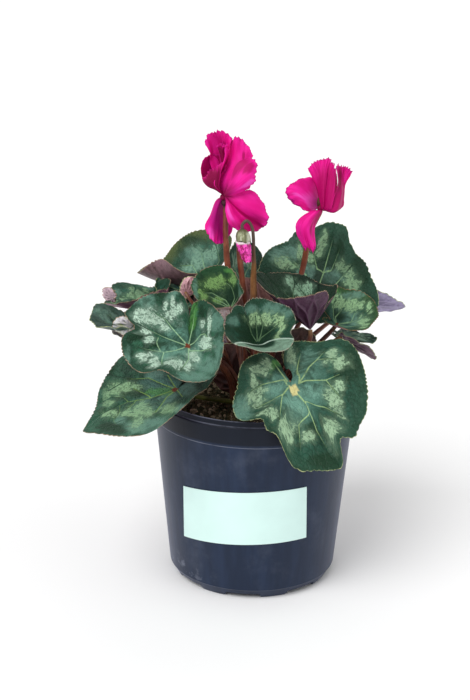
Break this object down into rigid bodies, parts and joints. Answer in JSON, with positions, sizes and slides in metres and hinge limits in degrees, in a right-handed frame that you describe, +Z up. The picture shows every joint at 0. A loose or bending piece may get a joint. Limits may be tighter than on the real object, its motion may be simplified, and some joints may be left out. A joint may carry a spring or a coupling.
{
  "type": "potted cyclamen plant",
  "caption": "Flowering cyclamen with marbled heart-shaped leaves and magenta blooms in a round tapered plastic nursery pot of soil with a blank label.",
  "frame": {"origin": "centre of the pot's base ring, on the surface it stands on", "axes": "+Z up along the pot's axis, -Y towards the plant's front, +X to the right of someone facing that front"},
  "size_m": [0.2238, 0.1867, 0.3133],
  "materials": {
    "pot_plastic": "dark slate-blue moulded plastic with a low sheen and light scuffs",
    "label_paper": "pale mint paper, blank",
    "soil": "dark crumbly potting soil with pale grains",
    "tuber_skin": "rough brown corky skin",
    "leaf": "blue-green upper face with silver-green marbling and yellow-green veins, purple underside",
    "leaf_stalk": "smooth dark red-brown stalk with a soft sheen",
    "flower_stalk": "smooth red-brown stalk with a soft sheen",
    "petal": "velvety magenta petal, deeper towards the throat",
    "calyx": "matt olive green sepals"
  },
  "bodies": {
    "root": {"pot": "pot_plastic", "label": "label_paper", "soil": "soil", "tuber": "tuber_skin", "leaf_front_right_blade": "leaf", "leaf_front_right_stalk": "leaf_stalk", "leaf_front_left_low_blade": "leaf", "leaf_front_left_low_stalk": "leaf_stalk", "leaf_front_left_high_blade": "leaf", "leaf_front_left_high_stalk": "leaf_stalk", "leaf_front_middle_blade": "leaf", "leaf_front_middle_stalk": "leaf_stalk", "leaf_centre_left_blade": "leaf", "leaf_centre_left_stalk": "leaf_stalk", "leaf_left_high_blade": "leaf", "leaf_left_high_stalk": "leaf_stalk", "leaf_left_middle_blade": "leaf", "leaf_left_middle_stalk": "leaf_stalk", "leaf_left_low_blade": "leaf", "leaf_left_low_stalk": "leaf_stalk", "leaf_left_under_blade": "leaf", "leaf_left_under_stalk": "leaf_stalk", "leaf_left_back_blade": "leaf", "leaf_left_back_stalk": "leaf_stalk", "leaf_right_high_blade": "leaf", "leaf_right_high_stalk": "leaf_stalk", "leaf_right_middle_blade": "leaf", "leaf_right_middle_stalk": "leaf_stalk", "leaf_right_front_blade": "leaf", "leaf_right_front_stalk": "leaf_stalk", "leaf_right_low_blade": "leaf", "leaf_right_low_stalk": "leaf_stalk", "leaf_right_lower_blade": "leaf", "leaf_right_lower_stalk": "leaf_stalk", "leaf_right_far_blade": "leaf", "leaf_right_far_stalk": "leaf_stalk", "leaf_back_middle_blade": "leaf", "leaf_back_middle_stalk": "leaf_stalk", "leaf_back_right_blade": "leaf", "leaf_back_right_stalk": "leaf_stalk", "leaf_back_left_blade": "leaf", "leaf_back_left_stalk": "leaf_stalk", "leaf_back_low_blade": "leaf", "leaf_back_low_stalk": "leaf_stalk", "bloom_left_petals": "petal", "bloom_left_calyx": "calyx", "bloom_left_stalk": "flower_stalk", "bloom_right_petals": "petal", "bloom_right_calyx": "calyx", "bloom_right_stalk": "flower_stalk", "spent_flower_calyx": "calyx", "spent_flower_stalk": "flower_stalk", "bud_petals": "petal", "bud_calyx": "calyx", "bud_stalk": "flower_stalk"}
  },
  "joints": []
}
